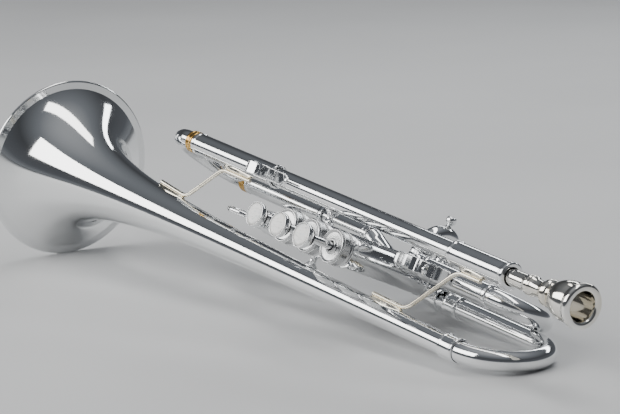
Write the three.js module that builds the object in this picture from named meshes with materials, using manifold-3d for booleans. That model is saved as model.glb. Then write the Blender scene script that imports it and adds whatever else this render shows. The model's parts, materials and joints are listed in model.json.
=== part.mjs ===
// B-flat trumpet lying on its left side, bell toward -X, mouthpiece toward +X.
// Local working frame: F = forward along the bell, L = the player's left, U = up toward the finger buttons.
// Every piece is shaped in (F, L, U) millimetres and then laid down on the floor plane z = 0.
import * as THREE from 'three';
import Module from 'manifold-3d';

const wasm = await Module();
wasm.setup();

// ---------- driving dimensions (mm) ----------
const GAP = 0.3;              // clearance between touching pieces
const PITCH = 26;             // valve spacing
const CASING_R = 9.8;         // valve casing outside radius
const BORE_R = 8.6;           // valve bore radius
const PISTON_R = 8.3;
const CAP_R = 11.2;           // valve cap outside radius
const CASING_BOTTOM = -120.7; // top cap face is U = 0
const STROKE = 16.1;          // valve travel
const BUTTON_TOP = 24;        // pearl face above the cap face
const BUTTON_R = 8.0;
const LEAD = { l: -24.5, u: -32 };    // leadpipe axis
const LOW = { l: -12.5, u: -84 };     // lower tuning slide leg axis
const BELL = { l: 27, u: -32 };       // bell axis
const BRANCH = { l: 7, u: -84 };      // lower branch of the bell bow
const TUBE_R = 6.0, TUBE_IN = 5.3;    // leadpipe and slide legs
const SLEEVE_R = 7.0, SLEEVE_IN = 6.3;
const RECEIVER_REAR = -153.6, RECEIVER_FRONT = -104;
const SLIDE_FRONT = 236;      // front of the main tuning slide
const BELL_RIM = 334, BELL_R = 61.2;  // bell rim station and radius
const BELL_TAIL = -131.4;       // joint between bell and bell bow
const BOW_REAR = -170;        // rear of the bell bow
const MOUTH_RIM = -220;       // mouthpiece rim face
// rest attitude on bell rim, bell bow and first bottom cap: bell end raised by pitch, buttons raised by roll
const PITCH_UP = 6.131 * Math.PI / 180, ROLL_UP = 24.6568 * Math.PI / 180;
const [sp, cp, sr, cr] = [Math.sin(PITCH_UP), Math.cos(PITCH_UP), Math.sin(ROLL_UP), Math.cos(ROLL_UP)];
const REST_F = [-cp, 0, sp], REST_L = [-sp * cr, -sr, -cp * cr], REST_U = [sp * sr, -cr, cp * sr];
const REST_SHIFT = [60.8594, -36.4781, 63.6686];        // puts the centre of the footprint at x = y = 0 and the lowest point at z = 0

// ---------- finishes ----------
const SILVER = { color: 0xc9ccd0, roughness: 0.12, metalness: 1 };
const SATIN = { color: 0xb4b6b8, roughness: 0.38, metalness: 1 };
const AMBER = { color: 0xb07a2e, roughness: 0.25, metalness: 1 };
const WARM = { color: 0xc8b58a, roughness: 0.2, metalness: 1 };
const NICKEL = { color: 0xa9a69e, roughness: 0.25, metalness: 1 };
const PEARL = { color: 0xe9e7e0, roughness: 0.25, metalness: 0 };
const FELT = { color: 0x2c2b2d, roughness: 0.95, metalness: 0 };
const CORK = { color: 0x9a6f42, roughness: 0.9, metalness: 0 };
const STEEL = { color: 0x8f9296, roughness: 0.3, metalness: 1 };

const group = new THREE.Group();
group.name = 'trumpet';
const V = (f, l, u) => new THREE.Vector3(f, l, u);

// ---------- helpers ----------
function merged(geom) {
  const p = geom.getAttribute('position'), idx = geom.getIndex();
  const n = idx ? idx.count : p.count, map = new Map(), verts = [], tris = [];
  const id = (i) => {
    const k = [p.getX(i), p.getY(i), p.getZ(i)].map((v) => Math.round(v * 1e4)).join(',');
    if (!map.has(k)) { map.set(k, verts.length / 3); verts.push(p.getX(i), p.getY(i), p.getZ(i)); }
    return map.get(k);
  };
  for (let t = 0; t < n; t += 3) {
    const a = id(idx ? idx.getX(t) : t), b = id(idx ? idx.getX(t + 1) : t + 1), c = id(idx ? idx.getX(t + 2) : t + 2);
    if (a !== b && b !== c && c !== a) tris.push(a, b, c);
  }
  let vol = 0;
  for (let t = 0; t < tris.length; t += 3) {
    const [a, b, c] = [tris[t], tris[t + 1], tris[t + 2]].map((i) => V(verts[3 * i], verts[3 * i + 1], verts[3 * i + 2]));
    vol += a.dot(b.cross(c));
  }
  if (vol < 0) for (let t = 0; t < tris.length; t += 3) [tris[t + 1], tris[t + 2]] = [tris[t + 2], tris[t + 1]];
  return { verts: new Float32Array(verts), tris: new Uint32Array(tris) };
}
function solid(geom) {
  const m = merged(geom);
  return new wasm.Manifold(new wasm.Mesh({ numProp: 3, vertProperties: m.verts, triVerts: m.tris }));
}
function toGeom(man) {
  const m = man.getMesh(), np = m.numProp, n = m.vertProperties.length / np, pos = new Float32Array(n * 3);
  for (let i = 0; i < n; i++) for (let k = 0; k < 3; k++) pos[3 * i + k] = m.vertProperties[i * np + k];
  const g = new THREE.BufferGeometry();
  g.setAttribute('position', new THREE.BufferAttribute(pos, 3));
  g.setIndex(new THREE.BufferAttribute(new Uint32Array(m.triVerts), 1));
  return g;
}
const restBasis = new THREE.Matrix4().makeBasis(V(...REST_F), V(...REST_L), V(...REST_U)).setPosition(V(...REST_SHIFT));
function add(name, shape, finish) {
  const m = merged(shape.getMesh ? toGeom(shape) : shape);
  const g = new THREE.BufferGeometry();
  g.setAttribute('position', new THREE.BufferAttribute(m.verts, 3));
  g.setIndex(new THREE.BufferAttribute(m.tris, 1));
  g.applyMatrix4(restBasis);
  g.computeVertexNormals();
  const mesh = new THREE.Mesh(g, new THREE.MeshStandardMaterial(finish));
  mesh.name = name;
  group.add(mesh);
}
// turned piece: profile of [radius, distance along dir] pairs, closed on itself or on the axis
function turned(profile, origin, dir, seg = 16) {
  const pts = profile.map(([r, z]) => new THREE.Vector2(r, z));
  if (profile[0][0] > 1e-6 || profile[profile.length - 1][0] > 1e-6) pts.push(pts[0].clone());
  const g = new THREE.LatheGeometry(pts, seg);
  g.applyQuaternion(new THREE.Quaternion().setFromUnitVectors(V(0, 1, 0), dir.clone().normalize()));
  g.translate(origin.x, origin.y, origin.z);
  return g;
}
const hollow = (R, r, a, b, origin, dir, seg = 16) => turned([[r, a], [R, a], [R, b], [r, b]], origin, dir, seg);
const rod = (R, a, b, origin, dir, seg = 16) => turned([[0, a], [R, a], [R, b], [0, b]], origin, dir, seg);
// curve through stations, with the tangent taken at each station
class Stations extends THREE.Curve {
  constructor(pts) { super(); this.pts = pts; }
  at(t) { const n = this.pts.length - 1, x = Math.min(Math.max(t, 0), 1) * n, i = Math.min(Math.floor(x), n - 1); return [i, x - i]; }
  getPoint(t, out = new THREE.Vector3()) { const [i, w] = this.at(t); return out.lerpVectors(this.pts[i], this.pts[i + 1], w); }
  getPointAt(t, out) { return this.getPoint(t, out); }
  getSpacedPoints(n) { return Array.from({ length: n + 1 }, (_, i) => this.getPoint(i / n)); }
  getTangent(t, out = new THREE.Vector3()) {
    const n = this.pts.length - 1, i = Math.round(Math.min(Math.max(t, 0), 1) * n);
    const a = i > 0 ? this.pts[i].clone().sub(this.pts[i - 1]).normalize() : null;
    const b = i < n ? this.pts[i + 1].clone().sub(this.pts[i]).normalize() : null;
    return out.copy(a && b ? a.add(b).normalize() : (a || b));
  }
  getTangentAt(t, out) { return this.getTangent(t, out); }
}
// round tube (or solid wire when rin = 0) along a list of points
function tube(pts, R, rin = 0, seg = 14, segIn = 6) {
  const s = new THREE.Shape();
  for (let i = 0; i < seg; i++) { const a = (2 * Math.PI * i) / seg; i ? s.lineTo(R * Math.cos(a), R * Math.sin(a)) : s.moveTo(R, 0); }
  s.closePath();
  if (rin > 0) {
    const h = new THREE.Path();
    for (let i = 0; i < segIn; i++) { const a = (-2 * Math.PI * i) / segIn; i ? h.lineTo(rin * Math.cos(a), rin * Math.sin(a)) : h.moveTo(rin, 0); }
    h.closePath();
    s.holes.push(h);
  }
  return new THREE.ExtrudeGeometry(s, { steps: pts.length - 1, extrudePath: new Stations(pts), curveSegments: 1 });
}
// points on a half circle from a to b bulging toward dir
function crook(a, b, dir, n = 10) {
  const c = a.clone().add(b).multiplyScalar(0.5), ra = a.clone().sub(c), rl = ra.length(), d = dir.clone().normalize().multiplyScalar(rl), out = [];
  for (let i = 0; i <= n; i++) { const t = (Math.PI * i) / n; out.push(c.clone().addScaledVector(ra, Math.cos(t)).addScaledVector(d, Math.sin(t))); }
  return out;
}
// rounded corner path through points with fillet radius
function bent(pts, rad, n = 4) {
  const out = [pts[0].clone()];
  for (let i = 1; i < pts.length - 1; i++) {
    const p = pts[i], a = pts[i - 1].clone().sub(p), b = pts[i + 1].clone().sub(p);
    const d = Math.min(rad, a.length() * 0.45, b.length() * 0.45);
    a.setLength(d); b.setLength(d);
    for (let k = 0; k <= n; k++) {
      const t = k / n;
      out.push(p.clone().addScaledVector(a, (1 - t) * (1 - t)).addScaledVector(b, t * t));
    }
  }
  out.push(pts[pts.length - 1].clone());
  return out;
}
function box(f0, f1, l0, l1, u0, u1) {
  const g = new THREE.BoxGeometry(f1 - f0, l1 - l0, u1 - u0);
  g.translate((f0 + f1) / 2, (l0 + l1) / 2, (u0 + u1) / 2);
  return solid(g);
}
const AF = V(1, 0, 0), AL = V(0, 1, 0), AU = V(0, 0, 1);

// ---------- bell ----------
const bellR = (f) => BELL_R * Math.pow(23 / (BELL_RIM - f + 23), 0.74);
const WALL = 0.9;
{
  const st = [BELL_RIM - 2.4, 326, 317, 304, 285, 255, 212, 155, 75, -25, BELL_TAIL];
  const outer = st.map((f) => [bellR(f), f]);
  const inner = [...st].reverse().map((f) => [bellR(f) - WALL, f]);
  const lip = [[BELL_R - 1.2, BELL_RIM - 0.5], [BELL_R, BELL_RIM], [BELL_R + 0.9, BELL_RIM - 1.2]];
  add('bell', turned([...inner, ...lip, ...outer], V(0, BELL.l, BELL.u), AF, 36), SILVER);
}
// bell bow: upper leg, crook, long lower leg
const bowSpan = Math.hypot(BELL.l - BRANCH.l, BELL.u - BRANCH.u);
const bowF = BOW_REAR + 6.3 + bowSpan / 2;
add('bell_bow', tube([V(bowF + 4, BELL.l, BELL.u), ...crook(V(bowF, BELL.l, BELL.u), V(bowF, BRANCH.l, BRANCH.u), V(-1, 0, 0), 13), V(-56, BRANCH.l, BRANCH.u)], 6.3, 5.5), SILVER);
add('bell_bow_upper_ferrule', hollow(7.7, 6.85, bowF, bowF + 14, V(0, BELL.l, BELL.u), AF), SILVER);
add('bell_bow_lower_ferrule', hollow(7.6, 6.65, -62, -49.5, V(0, BRANCH.l, BRANCH.u), AF), SILVER);
const casingAt = (f, r) => solid(rod(r, CASING_BOTTOM - 6, 2, V(f, 0, 0), AU));
// straight tube cut to saddle against a casing
const butted = (R, r, a, b, origin, dir, f) => solid(hollow(R, r, a, b, origin, dir)).subtract(casingAt(f, CASING_R + GAP));
add('bell_branch', butted(6.2, 5.4, -55.6, -27, V(0, BRANCH.l, BRANCH.u), AF, -PITCH), SILVER);

// ---------- valves ----------
const VALVES = [{ n: 1, f: -PITCH }, { n: 2, f: 0 }, { n: 3, f: PITCH }];
const FIRST = [V(0, -8, -60), V(0, -5, -96)];
const SECOND_DIR = V(-0.1, -0.995, 0).normalize();      // the second slide leans a little to the rear
const FIRST_START = 18.2, FIRST_END = 84;              // outer legs of the first slide, from the valve axis
const THIRD = [V(0, 6, -58), V(0, 4.5, -98)];
const SECOND = [V(0, 0, -86.5), V(0, 0, -107.5)];
for (const { n, f } of VALVES) {
  const o = V(f, 0, 0);
  let casing = solid(turned([[BORE_R, CASING_BOTTOM], [CASING_R - 0.4, CASING_BOTTOM], [CASING_R - 0.4, -114.9], [CASING_R, -114.9],
    [CASING_R, -11], [CASING_R + 0.6, -10.6], [CASING_R + 0.6, -9.1], [CASING_R - 0.4, -9.1], [CASING_R - 0.4, -1.95], [BORE_R, -1.95]], o, AU));
  const ports = [];
  if (n === 1) ports.push([V(f, 3.5, BRANCH.u), V(-1, 0, 0)], [V(f, -4, -60), V(-1, 0, 0)], [V(f, -3, -96), V(-1, 0, 0)], [V(f, 0, -62), AF]);
  if (n === 2) ports.push([V(f, 0, -86.5), V(0, -1, 0)], [V(f, 0, -107.5), V(0, -1, 0)], [V(f, 0, -62), V(-1, 0, 0)], [V(f, 0, -88), AF]);
  if (n === 3) ports.push([V(f, -4, LOW.u), AF], [V(f, 3, -58), AF], [V(f, 2.5, -98), AF], [V(f, 0, -88), V(-1, 0, 0)]);
  for (const [p, d] of ports) casing = casing.subtract(solid(rod(3.8, 4, 14, p, d, 8)));
  add(`valve_${n}_casing`, casing, SILVER);
  // top cap: beaded rim, sunken face and stem collar
  add(`valve_${n}_top_cap`, turned([[3.0, -1.5], [3.0, 0.4], [4.4, 0.4], [4.8, -0.6], [9.4, -0.5], [10.5, 0], [11.1, -1.2], [10.5, -2.3], [10.5, -6.4], [11.2, -7.5], [10.6, -8.7], [9.75, -8.7], [9.75, -1.5]], o, AU), SATIN);
  add(`valve_${n}_bottom_cap`, turned([[2.2, -121], [9.75, -121], [9.75, -115.6], [11.1, -115.6], [11.1, -117.2], [10.5, -117.8], [10.5, -121.6], [11.2, -122.4], [10.4, -124], [4.2, -124], [4.2, -126.6], [2.2, -126.6]], o, AU), SATIN);
  let piston = solid(turned([[0, -87], [6.0, -87], [6.0, -90], [PISTON_R, -90], [PISTON_R, -24], [0, -24]], o, AU));
  piston = piston.subtract(solid(rod(4.2, -12, 12, V(f, 0, -66), n === 2 ? AL : AF, 10)));
  add(`valve_${n}_piston`, piston, NICKEL);
  add(`valve_${n}_button_felt`, hollow(5.6, 2.8, 16.8, 18.3, o, AU, 12), FELT);
  add(`valve_${n}_finger_button`, turned([[0, -23.7], [2.4, -23.7], [2.4, 18.6], [6.6, 18.8], [8.0, 21.4], [8.0, 23.3], [7.6, BUTTON_TOP - 0.1], [7.0, BUTTON_TOP - 0.4], [7.0, 22.6], [0, 22.6]], o, AU), SILVER);
  add(`valve_${n}_pearl`, turned([[0, 22.9], [6.7, 22.9], [6.7, BUTTON_TOP], [0, BUTTON_TOP]], o, AU), PEARL);
  // return spring at its pressed length, standing on the bottom cap
  const coil = [], turns = 3, per = 9;
  for (let i = 0; i <= turns * per; i++) { const a = (2 * Math.PI * i) / per; coil.push(V(f + 6.2 * Math.cos(a), 6.2 * Math.sin(a), -120.1 + (12.0 * i) / (turns * per))); }
  add(`valve_${n}_spring`, tube(coil, 0.55, 0, 4), STEEL);
}
// crossover tubes between neighbouring casings
for (const [a, f, u] of [['12', -PITCH / 2, -62], ['23', PITCH / 2, -88]])
  add(`casing_crossover_${a}`, solid(hollow(5.8, 4.9, -4.8, 4.8, V(f, 0, u), AF)).subtract(casingAt(f - PITCH / 2, CASING_R + GAP)).subtract(casingAt(f + PITCH / 2, CASING_R + GAP)), SILVER);

// ---------- leadpipe, receiver, mouthpiece ----------
const leadO = V(0, LEAD.l, LEAD.u), lowO = V(0, LOW.l, LOW.u);
add('leadpipe', hollow(TUBE_R, 4.9, -128, 112, leadO, AF), SILVER);
add('mouthpiece_receiver', turned([[5.6, RECEIVER_REAR], [8.4, RECEIVER_REAR], [8.4, -149.8], [7.3, -149.0], [7.3, -101.6], [7.8, -101.2], [7.8, -98.4], [6.35, -98.4], [6.35, -128.3], [5.45, -128.6]], leadO, AF), SILVER);
add('mouthpiece', turned([[2.0, -172], [3.9, -133.6], [4.75, -133.6], [5.15, -171], [6.0, -172], [6.0, -175], [5.1, -176], [5.1, -185], [8.1, -189.4], [8.1, -192], [7.3, -193],
  [11.6, -202.5], [12.5, -209], [11.9, -213.4], [13.5, -216.6], [13.5, -218.4], [11.6, MOUTH_RIM], [9.6, -219.4], [8.3, -216], [8.0, -211], [5.8, -205.5], [1.9, -200.4]], leadO, AF), SILVER);
// finger hook: foot on the leadpipe, band curling up and back
{
  const t = 1.7, c = { f: 91.4, u: -15.0 }, r = 8.5, prof = [[77, -25.0]];
  for (let i = 0; i <= 8; i++) { const a = -Math.PI / 2 + (Math.PI * 1.28 * i) / 8; prof.push([c.f + r * Math.cos(a), c.u + r * Math.sin(a)]); }
  const outer = [], inner = [];
  prof.forEach(([f, u], i) => {
    const p = prof[Math.max(i - 1, 0)], q = prof[Math.min(i + 1, prof.length - 1)];
    let dx = q[0] - p[0], dz = q[1] - p[1]; const n = Math.hypot(dx, dz); dx /= n; dz /= n;
    outer.push([f + (dz * t) / 2, u - (dx * t) / 2]); inner.push([f - (dz * t) / 2, u + (dx * t) / 2]);
  });
  const s = new THREE.Shape();
  [...outer, ...inner.reverse()].forEach(([f, u], i) => (i ? s.lineTo(f, u) : s.moveTo(f, u)));
  s.closePath();
  const g = new THREE.ExtrudeGeometry(s, { depth: 8.4, steps: 1, bevelEnabled: false, curveSegments: 1 });
  g.applyMatrix4(new THREE.Matrix4().makeBasis(AF, AU, V(0, -1, 0)));
  g.translate(0, LEAD.l + 4.2, 0);
  const saddle = solid(hollow(TUBE_R + 1.6, TUBE_R + GAP, 76, 92, leadO, AF)).intersect(box(75, 93, LEAD.l - 4.6, LEAD.l + 4.6, LEAD.u, -20));
  add('finger_hook', solid(g).add(saddle).subtract(solid(rod(TUBE_R + GAP, 60, 92.1, leadO, AF))).subtract(solid(rod(8.0, 92.1, 140, leadO, AF))), SILVER);
}

// ---------- main tuning slide ----------
const sleeve = (a, b) => [[SLEEVE_IN, a], [SLEEVE_R + 0.6, a], [SLEEVE_R + 0.6, a + 3.4], [SLEEVE_R, a + 4], [SLEEVE_R, b], [SLEEVE_IN, b]];
add('tuning_sleeve_upper', turned(sleeve(94, 191.3), leadO, AF), SILVER);
add('tuning_sleeve_lower', turned(sleeve(98, 191.3), lowO, AF), SILVER);
add('valve_3_inlet_tube', solid(tube(bent([V(116, LOW.l, LOW.u), V(47, LOW.l, LOW.u), V(27, -5, LOW.u)], 8, 3), 6.0, 5.2)).add(solid(hollow(7.2, 5.5, 47, 53, lowO, AF))).subtract(casingAt(PITCH, CASING_R + GAP)), SILVER);
const slideSpan = Math.hypot(LEAD.l - LOW.l, LEAD.u - LOW.u), slideF = SLIDE_FRONT - TUBE_R - slideSpan / 2;
const slideCrook = crook(V(slideF, LEAD.l, LEAD.u), V(slideF, LOW.l, LOW.u), AF, 13);
{
  // crook with a post for the water key
  const post = box(206.2, 209.2, LOW.l - 2, LOW.l + 2, LOW.u - 10, LOW.u - 4.2).subtract(solid(tube(slideCrook, TUBE_R - 0.4, 0)));
  add('tuning_slide', solid(tube([V(124, LEAD.l, LEAD.u), ...slideCrook, V(124, LOW.l, LOW.u)], TUBE_R, TUBE_IN)).add(post), SILVER);
  add('tuning_slide_upper_ferrule', hollow(7.4, 6.3, 191.8, 198.4, leadO, AF), AMBER);
  add('tuning_slide_lower_ferrule', hollow(7.4, 6.3, 191.8, 198.4, lowO, AF), AMBER);
  const d = V(0, LOW.l - LEAD.l, LOW.u - LEAD.u).normalize(), s = slideSpan;
  add('tuning_slide_brace', turned([[0, 7.75], [4.0, 7.75], [4.0, 8.8], [1.8, 10.6], [1.8, s - 10.6], [4.0, s - 8.8], [4.0, s - 7.75], [0, s - 7.75]], V(195.1, LEAD.l, LEAD.u), d, 12), SILVER);
  // water key: bent lever under the lower leg with a cork pad under the crook
  const s1 = new THREE.Shape();
  [[168, -99.8], [169, -101], [209, -96.2], [219, -92.6], [223.5, -88.6], [222.4, -87.4], [218, -91.2], [208.6, -94.6]].forEach(([f, u], i) => (i ? s1.lineTo(f, u) : s1.moveTo(f, u)));
  s1.closePath();
  const g = new THREE.ExtrudeGeometry(s1, { depth: 5, steps: 1, bevelEnabled: false, curveSegments: 1 });
  g.applyMatrix4(new THREE.Matrix4().makeBasis(AF, AU, V(0, -1, 0)));
  g.translate(0, LOW.l + 2.5, 0);
  add('water_key_lever', g, SILVER);
  add('water_key_cork', rod(2.5, 33.05, 34.85, V(slideF, LOW.l, (LEAD.u + LOW.u) / 2), V(0.578, 0, -0.816), 10), CORK);
}

// ---------- valve slides ----------
function valveSlide(name, legs, dir, f, start, end, legEnd, bulge, grip, ring) {
  // start/end: sleeve span from the valve axis, legEnd: where the crook begins, along dir
  const at = (p, d) => p.clone().add(V(f, 0, 0)).addScaledVector(dir, d);
  ['upper', 'lower'].forEach((w, i) => add(`${name}_sleeve_${w}`, butted(SLEEVE_R, SLEEVE_IN, start, end, at(legs[i], 0), dir, f), SILVER));
  const inner = start + grip;
  let s = solid(tube([at(legs[0], inner), ...crook(at(legs[0], legEnd), at(legs[1], legEnd), dir, bulge), at(legs[1], inner)], TUBE_R, TUBE_IN));
  for (const p of legs) s = s.add(solid(hollow(7.3, 5.6, end + 0.5, end + ring, at(p, 0), dir, 14)));
  return s;
}
// the first slide runs the other way round: its outer legs ride over tubes fixed to the casing
{
  const d = V(-1, 0, 0), at = (p, x) => V(-PITCH - x, p.y, p.z);
  ['upper', 'lower'].forEach((w, i) => add(`first_slide_inner_tube_${w}`, butted(TUBE_R, TUBE_IN, 4, 76, at(FIRST[i], 0), d, -PITCH), SILVER));
  let s = solid(tube([at(FIRST[0], FIRST_END - 1), ...crook(at(FIRST[0], FIRST_END + 3), at(FIRST[1], FIRST_END + 3), d, 7), at(FIRST[1], FIRST_END - 1)], 6.5, 5.3));
  for (const p of FIRST) s = s.add(solid(hollow(SLEEVE_R, SLEEVE_IN, FIRST_START, FIRST_END, at(p, 0), d))).add(solid(hollow(7.5, 5.6, FIRST_END - 1, FIRST_END + 1.6, at(p, 0), d, 14)));
  add('first_slide', s, SILVER);
}
add('third_slide', valveSlide('third_slide', THIRD, V(1, 0, 0), PITCH, 4, 89, 106, 7, 9, 6.5), SILVER);
{
  let s = valveSlide('second_slide', SECOND, SECOND_DIR, 0, 4, 16, 19.4, 7, 6.8, 2.6);
  s = s.add(solid(turned([[0, 35.4], [1.5, 35.4], [1.5, 37.4], [3.2, 38.4], [3.2, 41.8], [2.2, 42.8], [0, 42.8]], V(0, 0, -97), SECOND_DIR, 12)));
  add('second_slide', s, SILVER);
}
// thumb saddle of the first slide: foot on the ferrule, cradle over the sleeve
{
  const s = new THREE.Shape();
  [[-79.4, -52.7], [-44, -52.7], [-40.6, -48], [-39.4, -37], [-41.0, -36.6], [-42.4, -46.4], [-46, -50.6], [-63, -50.6], [-66.6, -46.4], [-68.4, -36.8], [-70, -37.2], [-68.6, -48], [-71, -50.8], [-79.4, -50.8]].forEach(([f, u], i) => (i ? s.lineTo(f, u) : s.moveTo(f, u)));
  s.closePath();
  const g = new THREE.ExtrudeGeometry(s, { depth: 9, steps: 1, bevelEnabled: false, curveSegments: 1 });
  g.applyMatrix4(new THREE.Matrix4().makeBasis(AF, AU, V(0, -1, 0)));
  g.translate(0, FIRST[0].y + 4.5, 0);
  add('first_slide_thumb_saddle', g, SILVER);
}
// finger ring of the third slide
{
  const p = THIRD[0], ring = new THREE.TorusGeometry(11.2, 1.7, 6, 20);
  ring.applyMatrix4(new THREE.Matrix4().makeBasis(AF, AU, V(0, -1, 0)));
  ring.translate(118.6, p.y, p.z + 21.6);
  add('third_slide_finger_ring', solid(ring).add(box(116.4, 120.8, p.y - 1.6, p.y + 1.6, p.z + 7.6, p.z + 10.6)), SILVER);
}

// ---------- braces ----------
const U0 = -32;
function plate(shell, fc, half, wide, l0, l1) {
  const s = new THREE.Shape();
  for (let i = 0; i < 10; i++) { const a = (2 * Math.PI * i) / 10, f = fc + half * Math.cos(a), u = U0 + wide * Math.sin(a); i ? s.lineTo(f, u) : s.moveTo(f, u); }
  s.closePath();
  const g = new THREE.ExtrudeGeometry(s, { depth: l1 - l0, steps: 1, bevelEnabled: false, curveSegments: 1 });
  g.applyMatrix4(new THREE.Matrix4().makeBasis(AF, AU, V(0, -1, 0)));
  g.translate(0, l1, 0);
  return shell.intersect(solid(g));
}
const bellShell = (a, b, i, o) => { const st = [a, (a + b) / 2, b]; return solid(turned([...st.map((f) => [bellR(f) + o, f]), ...[...st].reverse().map((f) => [bellR(f) + i, f])], V(0, BELL.l, BELL.u), AF, 36)); };
{
  const l = (f) => BELL.l - bellR(f) - 2.3;
  const wire = solid(tube(bent([V(216, l(216), U0), V(183, l(183), U0), V(155, LEAD.l + 9.7, U0), V(122, LEAD.l + 9.7, U0)], 5, 3), 1.4, 0, 8));
  add('front_brace', wire.add(plate(bellShell(180, 222, 0.45, 1.7), 201, 17, 5, 0, 20)).add(plate(solid(hollow(8.6, SLEEVE_R + GAP, 116, 160, leadO, AF)), 138, 17, 4.6, LEAD.l + 2, LEAD.l + 12)), WARM);
}
{
  const l = (f) => BELL.l - bellR(f) - 2.4;
  const wire = solid(tube(bent([V(-41, l(-41), U0), V(-75, l(-75), U0), V(-107, LEAD.l + 9.9, U0), V(-129, LEAD.l + 9.9, U0)], 6, 3), 1.4, 0, 8));
  add('rear_brace', wire.add(plate(bellShell(-77, -35, 0.45, 1.7), -56, 17, 4.6, 10, 26)).add(plate(solid(hollow(8.9, 8.1, -136, -105, leadO, AF)), -120, 13, 4.6, LEAD.l + 2, LEAD.l + 12)), WARM);
}
const spool = (l0, l1, u) => solid(turned([[0, l0], [4.4, l0], [4.4, l0 + 1.6], [2.4, l0 + 3.2], [2.2, (l0 + l1) / 2], [2.4, l1 - 3.2], [4.4, l1 - 1.6], [4.4, l1], [0, l1]], V(PITCH, 0, u), AL, 12)).subtract(casingAt(PITCH, CASING_R + GAP));
add('leadpipe_valve_brace', spool(-19.5, -8.8, -31).subtract(solid(rod(TUBE_R + GAP, 0, 50, leadO, AF))), SILVER);
add('bell_valve_brace', spool(8.8, 20.5, -31).subtract(bellShell(0, 52, -6, 0.45)), SILVER);

export default group;
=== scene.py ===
import math
import bpy, bmesh
import numpy as np
from mathutils import Vector, Matrix
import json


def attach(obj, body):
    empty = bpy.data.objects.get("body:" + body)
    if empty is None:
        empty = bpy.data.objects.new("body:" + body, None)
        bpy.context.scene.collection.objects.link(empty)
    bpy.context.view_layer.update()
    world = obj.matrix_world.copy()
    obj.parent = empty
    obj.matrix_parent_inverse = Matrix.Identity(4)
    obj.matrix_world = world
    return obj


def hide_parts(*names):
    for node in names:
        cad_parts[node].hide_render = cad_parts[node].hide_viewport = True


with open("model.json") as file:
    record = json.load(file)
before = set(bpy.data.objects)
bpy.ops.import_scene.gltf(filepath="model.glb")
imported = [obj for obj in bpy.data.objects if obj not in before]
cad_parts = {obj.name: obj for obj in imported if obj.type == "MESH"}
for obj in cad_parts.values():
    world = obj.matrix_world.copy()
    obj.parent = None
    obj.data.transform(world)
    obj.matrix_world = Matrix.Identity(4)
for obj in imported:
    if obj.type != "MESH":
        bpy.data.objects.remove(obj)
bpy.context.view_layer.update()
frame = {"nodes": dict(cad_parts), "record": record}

# ---------------------------------------------------------------- local frame
# F = forward along the bell, L = player's left, U = up toward the buttons (mm)
PITCH_UP, ROLL_UP = math.radians(6.131), math.radians(24.6568)
SHIFT = np.array([60.8594, -36.4781, 63.6686])
sp, cp, sr, cr = math.sin(PITCH_UP), math.cos(PITCH_UP), math.sin(ROLL_UP), math.cos(ROLL_UP)
W = np.array([[-cp, 0, sp], [-sp * cr, -sr, -cp * cr], [sp * sr, -cr, cp * sr]])  # rows F, L, U
AF, AL, AU = np.eye(3)


def row(v):
    return (np.asarray(v, float).reshape(-1, 3) @ W + SHIFT) / 1000.0


def V(f, l, u):
    return np.array([f, l, u], float)


# ---------------------------------------------------------------- camera
F_PX, ORIG = 3000.0, np.array([-1.806, -16.984, -1815.28])
M = np.array([[-0.546, 0.237, -0.803], [-0.371, -0.928, -0.022], [-0.751, 0.287, 0.595]]).T
uu, _, vv = np.linalg.svd(M)
M = uu @ vv                       # local frame -> camera frame
cam_axes = W.T @ M.T              # camera x, y, z axes in the row frame (columns)
cam_pos = row(-M.T @ ORIG)[0]
cd = bpy.data.cameras.new("camera")
cam = bpy.data.objects.new("camera", cd)
bpy.context.scene.collection.objects.link(cam)
cd.sensor_width = 36.0
cd.lens = F_PX / 620.0 * 36.0
cd.clip_start, cd.clip_end = 0.05, 200.0
mw = Matrix.Identity(4)
for i in range(3):
    for j in range(3):
        mw[i][j] = cam_axes[i, j]
    mw[i][3] = cam_pos[i]
cam.matrix_world = mw
bpy.context.scene.camera = cam


# ---------------------------------------------------------------- materials
def new_mat(name):
    m = bpy.data.materials.new(name)
    m.use_nodes = True
    nt = m.node_tree
    nt.nodes.clear()
    out = nt.nodes.new("ShaderNodeOutputMaterial")
    b = nt.nodes.new("ShaderNodeBsdfPrincipled")
    nt.links.new(b.outputs[0], out.inputs[0])
    tc = nt.nodes.new("ShaderNodeTexCoord")
    return m, nt, b, tc.outputs["Object"]


def noise(nt, co, scale, detail=4.0, rough=0.55, stretch=None):
    if stretch is not None:
        mp = nt.nodes.new("ShaderNodeMapping")
        mp.inputs["Scale"].default_value = stretch
        nt.links.new(co, mp.inputs["Vector"])
        co = mp.outputs[0]
    n = nt.nodes.new("ShaderNodeTexNoise")
    n.inputs["Scale"].default_value = scale
    n.inputs["Detail"].default_value = detail
    n.inputs["Roughness"].default_value = rough
    nt.links.new(co, n.inputs["Vector"])
    return n.outputs["Fac"]


def ramp(nt, fac, stops):
    r = nt.nodes.new("ShaderNodeValToRGB")
    e = r.color_ramp.elements
    while len(e) < len(stops):
        e.new(0.5)
    for k, (p, c) in zip(e, stops):
        k.position = p
        k.color = (*c, 1) if len(c) == 3 else c
    nt.links.new(fac, r.inputs[0])
    return r.outputs[0]


def span(nt, fac, lo, hi, a=0.0, b=1.0):
    m = nt.nodes.new("ShaderNodeMapRange")
    m.inputs["From Min"].default_value, m.inputs["From Max"].default_value = a, b
    m.inputs["To Min"].default_value, m.inputs["To Max"].default_value = lo, hi
    nt.links.new(fac, m.inputs["Value"])
    return m.outputs[0]


def bump(nt, b, height, strength, dist):
    n = nt.nodes.new("ShaderNodeBump")
    n.inputs["Strength"].default_value = strength
    n.inputs["Distance"].default_value = dist
    nt.links.new(height, n.inputs["Height"])
    nt.links.new(n.outputs[0], b.inputs["Normal"])


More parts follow.
